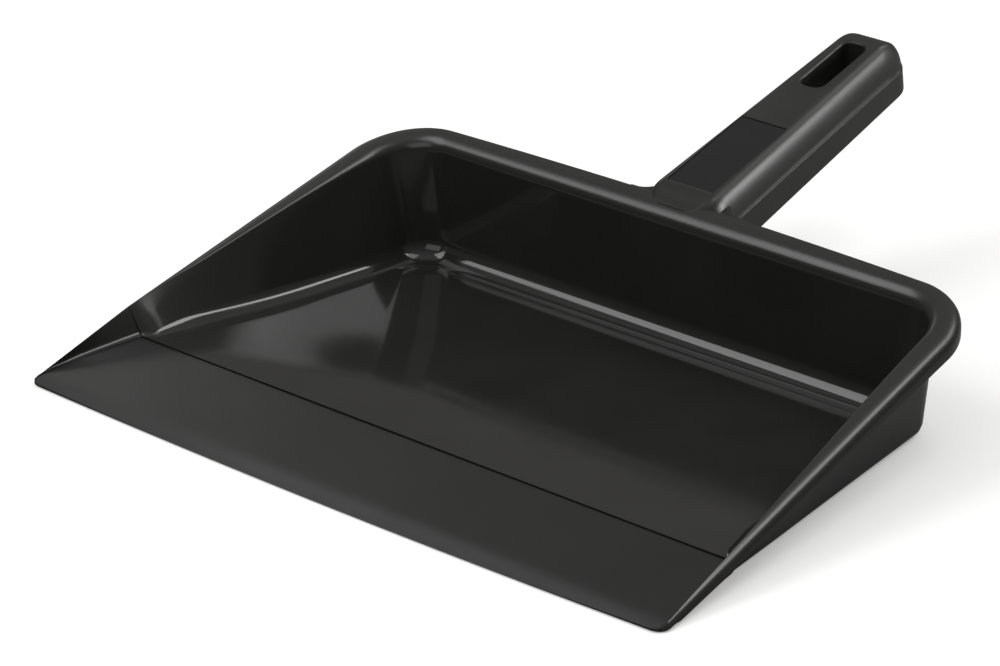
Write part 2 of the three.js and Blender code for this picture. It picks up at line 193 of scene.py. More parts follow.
# ---- tolerances -----------------------------------------------------------------------------

WELD = 0.001  # points closer than this are one
FLAT = math.radians(0.2)  # faces that meet more gently than this are one
TOOL_CLEAR = 5.0  # how far a cutting tool stands out of what it cuts
ON_OUTLINE = 0.1  # sideways distance within which a corner belongs to the slot
ON_TOP_FACE = 0.05
SHARPEST_TURN = 3.0  # a corner that turns back more than this, in radians, is left as it is
OPEN_SHARE = 0.96  # how much of a polyline's first or last edge an arc may take
INNER_SHARE = 0.48  # and of an edge with a corner at both ends

# ---- the frame ------------------------------------------------------------------------------

MM = 0.001
SHIFT_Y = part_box("front_lip")[0].y - LIP_MIDDLE_Y * MM


def row(point):
    """A point of the pan's frame, in metres in the row frame."""
    return Vector((point[0] * MM, point[1] * MM + SHIFT_Y, point[2] * MM))


def mix(a, b, t):
    return a + (b - a) * t


def smooth(t):
    """0 to 1 with level ends."""
    t = min(max(t, 0.0), 1.0)
    return t * t * (3 - 2 * t)


def steps(count, first=0.0, last=1.0):
    return [mix(first, last, k / count) for k in range(count + 1)]


# ---- meshes ---------------------------------------------------------------------------------


def to_object(name, bm, sharp=35):
    """A bmesh as a smooth-shaded object whose edges above the given angle stay sharp."""
    bmesh.ops.remove_doubles(bm, verts=bm.verts, dist=WELD * MM)
    bmesh.ops.recalc_face_normals(bm, faces=bm.faces)
    mesh = bpy.data.meshes.new(name)
    bm.to_mesh(mesh)
    bm.free()
    mesh.shade_smooth()
    mesh.set_sharp_from_angle(angle=math.radians(sharp))
    obj = bpy.data.objects.new(name, mesh)
    bpy.context.scene.collection.objects.link(obj)
    return obj


def loft(bm, sections, closed):
    """Quads between neighbouring sections, which hold equally many points of the pan's frame."""
    rows = [[bm.verts.new(row(p)) for p in section] for section in sections]
    count = len(rows[0])
    for near, far in zip(rows, rows[1:]):
        for i in range(count if closed else count - 1):
            j = (i + 1) % count
            bm.faces.new((near[i], near[j], far[j], far[i]))
    return rows


def weighted(obj):
    """Shades large faces flat up to their rounded edges."""
    modifier = obj.modifiers.new("normals", "WEIGHTED_NORMAL")
    modifier.keep_sharp = True
    return obj


def bevel(obj, width, segments=3, angle=40):
    """Rounds the edges above the given angle."""
    modifier = obj.modifiers.new("bevel", "BEVEL")
    modifier.width = width * MM
    modifier.segments = segments
    modifier.limit_method = "ANGLE"
    modifier.angle_limit = math.radians(angle)
    modifier.use_clamp_overlap = True
    return obj


def cut(obj, tool):
    """Takes the tool's volume out of the object, for good, and removes the tool."""
    modifier = obj.modifiers.new("cut", "BOOLEAN")
    modifier.operation = "DIFFERENCE"
    modifier.solver = "EXACT"
    modifier.object = tool
    bpy.context.view_layer.update()
    evaluated = obj.evaluated_get(bpy.context.evaluated_depsgraph_get())
    mesh = bpy.data.meshes.new_from_object(evaluated)
    obj.modifiers.clear()
    obj.data = mesh
    bpy.data.objects.remove(tool)


def rounded(points, radii, count):
    """The polyline with each inner corner replaced by an arc of count + 1 points."""
    result = [points[0]]
    for i, (before, corner, after, radius) in enumerate(zip(points, points[1:], points[2:], radii)):
        back = (before - corner) * (OPEN_SHARE if i == 0 else INNER_SHARE)
        ahead = (after - corner) * (OPEN_SHARE if i == len(points) - 3 else INNER_SHARE)
        turn = math.pi - back.angle(ahead, math.pi)
        reach = radius * math.tan(turn / 2)
        share = min(1.0, min(back.length, ahead.length) / max(reach, WELD))
        reach *= share
        if reach < WELD or turn > SHARPEST_TURN:
            result += [corner] * (count + 1)
            continue
        start = corner + back.normalized() * reach
        end = corner + ahead.normalized() * reach
        centre = corner + (start + end - 2 * corner).normalized() * (reach / math.sin(turn / 2))
        for t in steps(count):
            along = math.sin(turn * t) / math.sin(turn)
            against = math.sin(turn * (1 - t)) / math.sin(turn)
            result.append(centre + (start - centre) * against + (end - centre) * along)
    result.append(points[-1])
    return result


def arc(centre, radius, first, last, count):
    """Plan points on a circle, from the first angle to the last."""
    angles = steps(count, first, last)
    return [Vector((centre[0] + radius * math.cos(a), centre[1] + radius * math.sin(a))) for a in angles]


def quarter(radius, short):
    """How far a quarter circle has fallen away, at a distance from its end."""
    return radius - math.sqrt(radius**2 - max(radius - short, 0.0) ** 2)


# ---- the pan --------------------------------------------------------------------------------


def by_station(values, y):
    """A value given at the lip, the crest and the rear, at a distance y behind the lip."""
    lip, crest, rear = values
    if y < CREST_Y:
        return mix(lip, crest, y / CREST_Y)
    return mix(crest, rear, (y - CREST_Y) / (RIM_REAR_Y - CREST_Y))


def rim_z(y):
    return by_station(RIM_Z, y)


def skirt_drop(y):
    return mix(*SKIRT_DROP, y / RIM_REAR_Y)


def mouth_round(y):
    return mix(*MOUTH_ROUND, max(0.0, (y - CREST_Y) / (MOUTH_REAR_Y - CREST_Y)) ** MOUTH_POWER)


def floor_z(y):
    return FLOOR + FLOOR_RISE * (1 - smooth((y - CREST_Y) / FLOOR_BOW))


def strip_half(y):
    t = max(0.0, (y - STRIP_SHOULDER_Y) / (CREST_Y - STRIP_SHOULDER_Y))
    return mix(*STRIP_HALF, t)


def ramp_z(y):
    drop = RAMP_DROP * max(0.0, (RAMP_BEND - y) / RAMP_BEND) ** 2
    return mix(*STRIP_Z, y / CREST_Y) - drop


def tip_half(y):
    """Half width of the rounded front corners."""
    centre_y = LIP_CORNER_Y + LIP_CORNER
    inside = max(LIP_CORNER**2 - max(centre_y - y, 0.0) ** 2, 0.0)
    return RIM_HALF[0] - LIP_CORNER + math.sqrt(inside)


def behind(halves, rear_y, corner, stage, t, inset=0.0, bow=0.0):
    """A plan point of one of the pan's outlines behind the crest, on its right half.

    The stages are the straight side, the round corner and the half of the rear edge.
    """
    crest_half, rear_half = halves
    lean = math.atan2(crest_half - rear_half, rear_y - CREST_Y)
    radius = max(corner - inset, LEAST_CORNER)
    centre = Vector((rear_half - inset - radius, rear_y - inset - radius))
    if stage == "rear":
        return Vector((centre.x * (1 - t), rear_y - inset + bow * (1 - (1 - t) ** 2)))
    if stage == "corner":
        angle = mix(lean, math.pi / 2, t)
        return centre + radius * Vector((math.cos(angle), math.sin(angle)))
    start = Vector((crest_half - inset, CREST_Y))
    end = centre + radius * Vector((math.cos(lean), math.sin(lean)))
    return start.lerp(end, t)


def point(plan, z):
    return Vector((plan.x, plan.y, z))


def rim_roll(outer, crown, top, width, drop):
    """The outer rounding of the rim, from its crown (or the mouth's edge) to the skirt."""
    first = math.pi / 2
    if width < RIM_ROUND:
        first = math.acos(1 - width / RIM_ROUND)
    last = 0.0
    if drop < RIM_ROUND:
        last = math.asin(1 - drop / RIM_ROUND)
    result = []
    for angle in steps(ROLL_STEPS, max(first, last), last):
        plan = crown + (outer - crown) * math.cos(angle)
        result.append(point(plan, top - RIM_ROUND * (1 - math.sin(angle))))
    return result


def underside(outer, inward, edge, top, mouth, foot, inner):
    """From the skirt's lower edge up under the flange, down the wall and in under the floor."""
    skirt_in = outer + inward * SKIRT_WALL
    ceiling = max(top - WALL, edge)
    wall = mouth - inward * WALL
    if (wall - skirt_in).dot(inward) < 0:
        wall = skirt_in
    return [
        point(outer, edge),
        point(skirt_in, edge),
        point(skirt_in, ceiling),
        point(wall, ceiling),
        point(foot, 0.0),
        inner,
    ]


def assemble(start, corner, fillet, mouth, mouth_radius, roll, under):
    """One whole cross-section of the pan, from the floor round the rim to the underside."""
    inside = rounded([start, corner, mouth, roll[0]], [fillet, mouth_radius], INNER_STEPS)
    radii = [SKIRT_ROUND, SKIRT_ROUND, FLANGE_ROUND, FLANGE_ROUND, FOOT_ROUND]
    return inside + roll[1:-1] + rounded([roll[-1]] + under, radii, UNDER_STEPS)


def cheek_section(y):
    """The pan's cross-section beside the lip strip."""
    outer_x = min(by_station(RIM_HALF, y), tip_half(y))
    start_x = strip_half(y) + GAP / 2
    width = outer_x - start_x
    corner_x = start_x + min(CHEEK_STEP, STEP_SHARE * width)
    mouth_x = min(by_station(MOUTH_HALF, y), outer_x - min(CHEEK_RIM, RIM_SHARE * width))
    foot_x = max(by_station(FOOT_HALF, y), start_x + FOOT_SHARE * width)
    foot_x = min(foot_x, outer_x - FOOT_SHARE * width)
    top = rim_z(y)
    ground = ramp_z(y)
    drop = min(skirt_drop(y), top)
    crown = Vector((outer_x - RIM_ROUND, y))
    roll = rim_roll(Vector((outer_x, y)), crown, top, outer_x - mouth_x, drop)
    inward = Vector((-min(SKIRT_WALL, SKIRT_SHARE * width) / SKIRT_WALL, 0.0))
    under = underside(
        Vector((roll[-1].x, y)), inward, top - drop, top,
        Vector((mouth_x, y)), Vector((foot_x, y)), Vector((start_x, y, 0.0)),
    )
    start = Vector((start_x, y, ground - CHEEK_SINK))
    corner = Vector((corner_x, y, ground))
    mouth = Vector((mouth_x, y, max(roll[0].z, ground)))
    return assemble(start, corner, mix(*CHEEK_FILLET, y / CREST_Y), mouth, mouth_round(y), roll, under)


def tray_section(stage, t):
    """The pan's cross-section behind the crest."""
    rim = (RIM_HALF[1:], RIM_REAR_Y, RIM_CORNER, stage, t)
    outer = behind(*rim, bow=REAR_BOW)
    crown = behind(*rim, inset=RIM_ROUND, bow=REAR_BOW)
    mouth = behind(MOUTH_HALF[1:], MOUTH_REAR_Y, MOUTH_CORNER, stage, t)
    foot = behind(FOOT_HALF[1:], FOOT_REAR_Y, FOOT_CORNER, stage, t)
    inner = behind(FOOT_HALF[1:], FOOT_REAR_Y, FOOT_CORNER, stage, t, inset=FLOOR_INSET)
    corner = behind(FLOOR_HALF, FLOOR_REAR_Y, FLOOR_CORNER, stage, t)
    start = behind(FLOOR_HALF, FLOOR_REAR_Y, FLOOR_CORNER, stage, t, inset=FLOOR_INSET)
    settled = smooth((corner.y - CREST_Y) / CREST_BLEND)
    grown = smooth((corner.y - CREST_Y) / FILLET_BLEND)
    corner.x += CHEEK_SHIFT * (1 - settled)
    width = (outer - mouth).length
    top = rim_z(crown.y)
    drop = skirt_drop(outer.y)
    roll = rim_roll(outer, crown, top, width, drop)
    mouth_z = min(rim_z(mouth.y), roll[0].z) if width < RIM_ROUND else rim_z(mouth.y)
    inward = (crown - outer).normalized()
    under = underside(outer, inward, top - drop, top, mouth, foot, point(inner, 0.0))
    return assemble(
        point(start, floor_z(start.y)),
        point(corner, floor_z(corner.y)),
        mix(CHEEK_FILLET[1], FLOOR_FILLET, grown),
        point(mouth, mouth_z),
        mouth_round(mouth.y),
        roll,
        under,
    )


def mirrored(section):
    return [Vector((-p.x, p.y, p.z)) for p in section]


def close_cheeks(bm, rows, count):
    """Closes both cheeks on the side of the lip strip, and at their tips."""
    for cheek in (rows[: count + 1], rows[-count - 1 :]):
        for near, far in zip(cheek, cheek[1:]):
            bm.faces.new((near[0], far[0], far[-1], near[-1]))
    bm.faces.new(rows[0])
    bm.faces.new(rows[-1])


def close_tray(bm, tray, side):
    """Lays the tray's floor, its underside and the step below the crest."""
    for i in range(side):
        j = len(tray) - 1 - i
        bm.faces.new((tray[i][0], tray[i + 1][0], tray[j - 1][0], tray[j][0]))
    bm.faces.new([r[0] for r in tray[side : len(tray) - side]])
    bm.faces.new([r[-1] for r in tray])
    bm.faces.new((tray[0][0], tray[-1][0], tray[-1][-1], tray[0][-1]))


def make_pan():
    first_y = LIP_CORNER_Y + CHEEK_START
    front = [cheek_section(y) for y in steps(TIP_STEPS, first_y, STRIP_SHOULDER_Y)]
    front += [cheek_section(y) for y in steps(CHEEK_STEPS, STRIP_SHOULDER_Y, CREST_Y - CHEEK_END)[1:]]
    back = [tray_section("side", t**SIDE_CROWDING) for t in steps(SIDE_STEPS)]
    back += [tray_section("corner", t) for t in steps(CORNER_STEPS)[1:]]
    back += [tray_section("rear", t) for t in steps(REAR_STEPS)[1:]]
    half = front + back
    bm = bmesh.new()
    rows = loft(bm, half + [mirrored(section) for section in half[-2::-1]], closed=False)
    close_cheeks(bm, rows, len(front))
    close_tray(bm, rows[len(front) : len(rows) - len(front)], SIDE_STEPS + CORNER_STEPS)
    return weighted(to_object("pan", bm))


# ---- the lip strip --------------------------------------------------------------------------


def lip_edge_y(x):
    """The front edge: bowed, with round corners."""
    centre_x = RIM_HALF[0] - LIP_CORNER
    if abs(x) > centre_x:
        rest = LIP_CORNER**2 - (abs(x) - centre_x) ** 2
        return LIP_CORNER_Y + LIP_CORNER - math.sqrt(max(rest, 0.0))
    return mix(LIP_MIDDLE_Y, LIP_CORNER_Y, (x / centre_x) ** 2)


def lip_profile(across):
    """The strip's cross-section at a share of its half width, as x, y, z points."""
    back = CREST_Y - GAP / 2
    front = lip_edge_y(across * STRIP_HALF[0])
    lowered = quarter(STRIP_SIDE_ROUND, (1 - abs(across)) * STRIP_HALF[0])
    outline = [(front + EDGE_UNDERCUT, 0.0), (front, EDGE_FOOT_Z), (front, ramp_z(front) - lowered)]
    ramp = steps(RAMP_STEPS, front + RAMP_START, back - 2 * CREST_ROUND)
    outline += [(y, ramp_z(y) - lowered) for y in ramp]
    outline += [(back, STRIP_Z[1] - lowered), (back, 0.0)]
    radii = [*EDGE_ROUNDS, *[0.0] * len(ramp), CREST_ROUND]
    points = rounded([Vector((y, z, 0.0)) for y, z in outline], radii, EDGE_STEPS)
    return [Vector((across * strip_half(p.x), p.x, p.y)) for p in points]


def make_lip():
    ends = [1 - (1 - STRIP_MIDDLE) * (1 - t) ** 2 for t in steps(STRIP_END_STEPS)[1:]]
    shares = [-share for share in reversed(ends)]
    shares += steps(STRIP_STEPS, -STRIP_MIDDLE, STRIP_MIDDLE) + ends
    bm = bmesh.new()
    rows = loft(bm, [lip_profile(share) for share in shares], closed=True)
    bm.faces.new(rows[0])
    bm.faces.new(rows[-1])
    return weighted(to_object("lip_strip", bm))


# ---- the handle -----------------------------------------------------------------------------


def hand(x, s, v):
    """From the handle's frame to the pan's."""
    y = HANDLE_ROOT[0] + math.cos(HANDLE_TILT) * s - math.sin(HANDLE_TILT) * v
    z = HANDLE_ROOT[1] + math.sin(HANDLE_TILT) * s + math.cos(HANDLE_TILT) * v
    return Vector((x, y, z))


def top_fall(s):
    """How far the top face lies below v = 0: at the nose on the rim, and at the rounded end."""
    nose = NOSE_FALL * (1 - smooth((s - NOSE_START) / (NOSE_END - NOSE_START)))
    return nose + quarter(END_DROOP, HANDLE_LENGTH - s)


def handle_half(s):
    """Half width of the handle, which narrows at its nose and at its end."""
    before = min(s, 0.0) / NOSE_START
    narrowing = NOSE_CORNER * (1 - math.sqrt(1 - NOSE_BLUNTNESS * before**2))
    return mix(*HANDLE_HALF, s / HANDLE_LENGTH) - narrowing - quarter(END_ROUND, HANDLE_LENGTH - s)


def seam_v(s):
    return -mix(*SEAM_DEPTH, s / HANDLE_LENGTH)


def mirror_side(side, s):
    """A closed section across the handle: the right half as given, then the left half back."""
    right = [hand(x, s, v) for x, v in side]
    left = [hand(-x, s, v) for x, v in reversed(side)]
    return right + left


def upper_section(s):
    """Above the seam: steep sides and broad round shoulders."""
    half = handle_half(s) - SEAM_LEDGE
    fall = top_fall(s)
    seam = seam_v(s) + SEAM_GAP / 2
    across = min(mix(*SHOULDER_ACROSS, s / HANDLE_LENGTH), half)
    down = max(min(SHOULDER_DOWN, -seam - fall - SEAM_CLEAR), SHOULDER_LEAST)
    side = [(half, seam)]
    for angle in steps(SHOULDER_STEPS, 0.0, math.pi / 2):
        out = abs(math.cos(angle)) ** (2 / SHOULDER_POWER)
        high = math.sin(angle) ** (2 / SHOULDER_POWER)
        x = half - UPPER_DRAFT - (across - UPPER_DRAFT) * (1 - out)
        side.append((x, -fall - down * (1 - high)))
    return mirror_side(side, s)


def lower_section(s):
    """Below the seam: sides that lean in to a flat keel."""
    half = handle_half(s)
    bottom = quarter(KEEL_END_ROUND, HANDLE_LENGTH - s) - HANDLE_DEPTH
    side = []
    for angle in steps(KEEL_STEPS, 0.0, math.pi / 2):
        x = half - LOWER_DRAFT - KEEL_ROUND * (1 - math.sin(angle))
        side.append((x, bottom + KEEL_ROUND * (1 - math.cos(angle))))
    side.append((half, seam_v(s) - SEAM_GAP / 2))
    return mirror_side(side, s)


def handle_stations():
    nose = steps(NOSE_STEPS, NOSE_START, NOSE_BEHIND)
    end = [HANDLE_LENGTH - END_DROOP * (1 - math.sin(t * math.pi / 2)) for t in steps(END_STEPS)]
    return nose + end


def make_half(name, section, first):
    """The upper or lower half of the handle, from the station s = first to the end."""
    bm = bmesh.new()
    rows = loft(bm, [section(s) for s in handle_stations() if s >= first], closed=True)
    bm.faces.new(rows[0])
    bm.faces.new(rows[-1])
    bmesh.ops.remove_doubles(bm, verts=bm.verts, dist=WELD * MM)
    bmesh.ops.dissolve_limit(bm, angle_limit=FLAT, verts=bm.verts, edges=bm.edges)
    return to_object(name, bm)


def plate(name, outline, low, high):
    """A flat plate in the handle's frame: a plan outline in x and s between two depths."""
    bm = bmesh.new()
    rows = loft(bm, [[hand(p.x, p.y, v) for p in outline] for v in (low, high)], closed=True)
    bm.faces.new(rows[0])
    bm.faces.new(rows[-1])
    return to_object(name, bm)


def round_rect(start, length, width, corner, grow=0.0):
    """A plan outline in x and s, widened on all sides by grow."""
    half = width / 2 + grow
    near = start - grow
    far = start + length + grow
    radius = corner + grow
    centres = [
        (half - radius, near + radius),
        (half - radius, far - radius),
        (-half + radius, far - radius),
        (-half + radius, near + radius),
    ]
    outline = []
    for k, centre in enumerate(centres):
        outline += arc(centre, radius, (k - 1) * math.pi / 2, k * math.pi / 2, PLAN_STEPS)
    return outline


def on_slot_edge(place):
    """Whether a corner of the mesh lies on the slot's outline in the top face."""
    across = place.x / MM
    ahead = (place.y - SHIFT_Y) / MM - HANDLE_ROOT[0]
    above = place.z / MM - HANDLE_ROOT[1]
    s = math.cos(HANDLE_TILT) * ahead + math.sin(HANDLE_TILT) * above
    v = math.cos(HANDLE_TILT) * above - math.sin(HANDLE_TILT) * ahead
    start, length, width, _ = SLOT
    beside = abs(across) < width / 2 + ON_OUTLINE
    along = start - ON_OUTLINE < s < start + length + ON_OUTLINE
    return beside and along and abs(v) < ON_TOP_FACE


def round_slot_edge(obj):
    """Rounds the slot's top edge, while the top face is still one flat face with a hole."""
    bm = bmesh.new()
    bm.from_mesh(obj.data)
    edges = [edge for edge in bm.edges if all(on_slot_edge(vert.co) for vert in edge.verts)]
    bmesh.ops.bevel(bm, geom=edges, offset=SLOT_EDGE * MM, segments=5, profile=0.5, affect="EDGES")
    bm.to_mesh(obj.data)
    bm.free()


def make_flare():
    """The concave corners that spread the handle into the rear rim."""
    side = HANDLE_HALF[0] - FLARE_TUCK
    reach = side + FLARE + FLARE_TAIL
    outline = [Vector((reach, NOSE_START)), Vector((reach, FLARE_S))]
    outline += arc((side + FLARE, FLARE + FLARE_S), FLARE, -math.pi / 2, -math.pi, FLARE_STEPS)
    outline += arc((-side - FLARE, FLARE + FLARE_S), FLARE, 0, -math.pi / 2, FLARE_STEPS)
    outline += [Vector((-reach, FLARE_S)), Vector((-reach, NOSE_START))]
    return plate("flare", outline, -FLARE_TOP - FLARE_DEPTH, -FLARE_TOP)


def make_handle():
    upper = make_half("grip_upper", upper_section, NOSE_START)
    lower = make_half("grip_lower", lower_section, LOWER_START)
    for half in (upper, lower):
        cut(half, plate("slot_tool", round_rect(*SLOT), -HANDLE_DEPTH - TOOL_CLEAR, TOOL_CLEAR))
    round_slot_edge(upper)
    cut(upper, plate("label_tool", round_rect(*LABEL, grow=LABEL_GAP), -LABEL_DEPTH, TOOL_CLEAR))
    weighted(bevel(upper, UPPER_EDGE, segments=2, angle=50))
    weighted(bevel(lower, LOWER_EDGE, angle=50))
    flare = weighted(bevel(make_flare(), FLARE_EDGE, segments=5))
    label = plate("label", round_rect(*LABEL), -LABEL_DEPTH, -LABEL_SINK)
    weighted(bevel(label, LABEL_EDGE, segments=2))
    return upper, lower, flare, label


# ---- materials ------------------------------------------------------------------------------

# each noise's features per metre and levels of detail
MOTTLE = (22, 4)
WEAR_PATCHES = (160, 5)
SMUDGES = (14, 5)
SCRATCHES = (900, 2)
WAVES = (9, 1)
GRAIN_DETAIL = 3
GRAIN_COARSENESS = 0.6
TABLE_MOTTLE = (3, 3)

# the band of a noise's values over which its effect sets in
MOTTLE_BAND = (0.35, 0.65)
SMUDGE_BAND = (0.35, 0.7)
SCRATCH_BAND = (0.62, 0.75)
TABLE_BAND = (0.3, 0.7)

MOTTLE_TONE = 0.6  # how far the mottling goes from the dark colour to the light one
SCRATCH_STRETCH = (0.06, 1.0, 1.0)  # the scratches run from side to side
WORN_EDGE = (0.52, 0.60)  # pointiness at which wear begins and is complete
WEAR_ROUGHNESS = 0.08
SMUDGE_ROUGHNESS = (-0.03, 0.04)
SCRATCH_ROUGHNESS = 0.03
RIM_BAND = (-0.006, -0.001)  # heights in metres over the rim's plane, between which its wear sets in
PLASTIC_IOR = 1.49


class Nodes:
    """A short way to write a material's node tree."""

    def __init__(self, name):
        self.material = bpy.data.materials.new(name)
        self.material.use_nodes = True
        self.tree = self.material.node_tree
        self.shader = self.tree.nodes["Principled BSDF"]
        self.place = self.add("ShaderNodeTexCoord").outputs["Object"]

    def add(self, kind, **settings):
        node = self.tree.nodes.new(kind)
        for key, value in settings.items():
            setattr(node, key, value)
        return node

    def link(self, source, target):
        self.tree.links.new(source, target)

    def noise(self, scale, detail, stretch=(1, 1, 1), roughness=0.5):
        """Noise with a given number of features per metre."""
        mapping = self.add("ShaderNodeMapping")
        mapping.inputs["Scale"].default_value = stretch
        self.link(self.place, mapping.inputs["Vector"])
        node = self.add("ShaderNodeTexNoise")
        node.inputs["Scale"].default_value = scale
        node.inputs["Detail"].default_value = detail
        node.inputs["Roughness"].default_value = roughness
        self.link(mapping.outputs["Vector"], node.inputs["Vector"])
        return node.outputs["Fac"]

    def spread(self, value, low, high, to_low, to_high):
        """The value with the range low to high stretched to another, and held inside it."""
        node = self.add("ShaderNodeMapRange")
        node.inputs["From Min"].default_value = low
        node.inputs["From Max"].default_value = high
        node.inputs["To Min"].default_value = to_low
        node.inputs["To Max"].default_value = to_high
        self.link(value, node.inputs["Value"])
        return node.outputs["Result"]

    def maths(self, operation, a, b):
        node = self.add("ShaderNodeMath", operation=operation)
        for socket, value in zip(node.inputs, (a, b)):
            if isinstance(value, (int, float)):
                socket.default_value = value
            else:
                self.link(value, socket)
        return node.outputs[0]

    def colours(self, factor, low, high):
        node = self.add("ShaderNodeMix", data_type="RGBA")
        node.inputs["A"].default_value = (*low, 1)
        node.inputs["B"].default_value = (*high, 1)
        self.link(factor, node.inputs["Factor"])
        return node.outputs["Result"]

    def bump(self, height, distance, after=None):
        node = self.add("ShaderNodeBump")
        node.inputs["Strength"].default_value = 1.0
        node.inputs["Distance"].default_value = distance
        self.link(height, node.inputs["Height"])
        if after is not None:
            self.link(after, node.inputs["Normal"])
        return node.outputs["Normal"]


def above_rim(nodes):
    """How far a point lies above the sloping plane of the rim's crown, in metres."""
    slope = (RIM_Z[2] - RIM_Z[1]) / (RIM_REAR_Y - CREST_Y)
    level = RIM_Z[1] * MM - slope * (SHIFT_Y + CREST_Y * MM)
    split = nodes.add("ShaderNodeSeparateXYZ")
    nodes.link(nodes.place, split.inputs[0])
    rising = nodes.maths("MULTIPLY", split.outputs["Y"], slope)
    return nodes.maths("SUBTRACT", nodes.maths("SUBTRACT", split.outputs["Z"], rising), level)


def plastic_tone(nodes, dark, light):
    """Mottled base colour, paler on worn edges. Returns the wear."""
    edges = nodes.add("ShaderNodeNewGeometry").outputs["Pointiness"]
    worn = nodes.spread(edges, *WORN_EDGE, 0.0, 1.0)
    patchy = nodes.maths("MULTIPLY", worn, nodes.noise(*WEAR_PATCHES))
    mottle = nodes.spread(nodes.noise(*MOTTLE), *MOTTLE_BAND, 0.0, MOTTLE_TONE)
    tone = nodes.maths("ADD", mottle, patchy)
    nodes.link(nodes.colours(tone, dark, light), nodes.shader.inputs["Base Color"])
    return patchy


def plastic_gloss(nodes, roughness, patchy, rim_wear):
    """Smudges, fine scratches and wear on top of a plain roughness."""
    smudge = nodes.spread(nodes.noise(*SMUDGES), *SMUDGE_BAND, *SMUDGE_ROUGHNESS)
    scratches = nodes.noise(*SCRATCHES, stretch=SCRATCH_STRETCH)
    fine = nodes.spread(scratches, *SCRATCH_BAND, 0.0, SCRATCH_ROUGHNESS)
    rough = nodes.maths("ADD", nodes.maths("ADD", smudge, fine), roughness)
    if rim_wear:
        rough = nodes.maths("ADD", rough, nodes.spread(above_rim(nodes), *RIM_BAND, 0.0, rim_wear))
    rough = nodes.maths("ADD", rough, nodes.maths("MULTIPLY", patchy, WEAR_ROUGHNESS))
    nodes.link(rough, nodes.shader.inputs["Roughness"])


def plastic(name, dark, light, roughness, grain, grain_depth, wave_depth, specular, rim_wear=0.0):
    """Black moulded plastic: mottled tone, smudged gloss, fine scratches, grain and worn edges."""
    nodes = Nodes(name)
    patchy = plastic_tone(nodes, dark, light)
    plastic_gloss(nodes, roughness, patchy, rim_wear)
    wave = nodes.bump(nodes.noise(*WAVES), wave_depth)
    pores = nodes.noise(grain, GRAIN_DETAIL, roughness=GRAIN_COARSENESS)
    nodes.link(nodes.bump(pores, grain_depth, wave), nodes.shader.inputs["Normal"])
    nodes.shader.inputs["IOR"].default_value = PLASTIC_IOR
    nodes.shader.inputs["Specular IOR Level"].default_value = specular
    return nodes.material


satin = plastic(
    "satin_black", (0.0125, 0.0125, 0.0120), (0.0172, 0.0172, 0.0164), roughness=0.09,
    grain=2600, grain_depth=0.000001, wave_depth=0.0005, specular=0.4, rim_wear=0.2,
)
grip = plastic(
    "grip_black", (0.0085, 0.0085, 0.0080), (0.0165, 0.0165, 0.0155), roughness=0.35,
    grain=1900, grain_depth=0.000006, wave_depth=0.0004, specular=0.4,
)
matte = plastic(
    "matte_black", (0.0075, 0.0075, 0.0074), (0.0105, 0.0105, 0.0103), roughness=0.36,
    grain=1700, grain_depth=0.000010, wave_depth=0.0003, specular=0.33,
)
gloss = plastic(
    "gloss_black", (0.0050, 0.0054, 0.0052), (0.0078, 0.0083, 0.0080), roughness=0.24,
    grain=3200, grain_depth=0.000002, wave_depth=0.0003, specular=0.3,
)


# ---- the object -----------------------------------------------------------------------------


def declare(obj, material, slot, *cad_nodes):
    obj.data.materials.clear()
    obj.data.materials.append(material)
    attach(obj, "root")
    if cad_nodes:
        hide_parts(*cad_nodes)


pan = make_pan()
lip = make_lip()
grip_upper, grip_lower, flare_piece, label_piece = make_handle()
declare(pan, satin, "shell_black", "pan_shell")
declare(lip, matte, "lip_black", "front_lip")
declare(grip_upper, grip, "shell_black", "handle_upper")
declare(grip_lower, grip, "shell_black", "handle_lower")
declare(flare_piece, grip, "shell_black")
declare(label_piece, gloss, "plate_black", "label_plate")


# ---- the studio, in metres ------------------------------------------------------------------

FLOOR_RADIUS = 9.0
FLOOR_BELOW = 0.0004  # the studio floor lies this far under the pan
FLOOR_TONES = ((0.79, 0.79, 0.785), (0.82, 0.82, 0.815))
FLOOR_ROUGHNESS = 0.9
FLOOR_SPECULAR = 0.1
REFLECTED_FLOOR = 0.34  # how bright the floor is in the plastic's reflections
FLOOR_GLOW = 0.32  # how much light the lit table adds to the shadows
GLOW_COLOUR = (1.0, 1.0, 0.99, 1.0)
BACKDROP = (0.9, 0.9, 0.9)

SKY = (  # radiance by the sine of the elevation
    (0.0, (0.12, 0.12, 0.118)),
    (0.3, (0.20, 0.197, 0.190)),
    (0.5, (0.27, 0.265, 0.255)),
    (0.7, (0.38, 0.38, 0.375)),
    (1.0, (0.70, 0.70, 0.70)),
)

LIGHTS_AIM = Vector((0.0, 0.0, 0.02))

VIEW_AZIMUTH = math.radians(41.16)
VIEW_ELEVATION = math.radians(23.94)
VIEW_DISTANCE = 1.6184
VIEW_AIM = (-11.2, 108.4, 26.9)  # in the pan's frame
LENS = 155.6  # focal length and sensor width in millimetres
SENSOR = 36.0


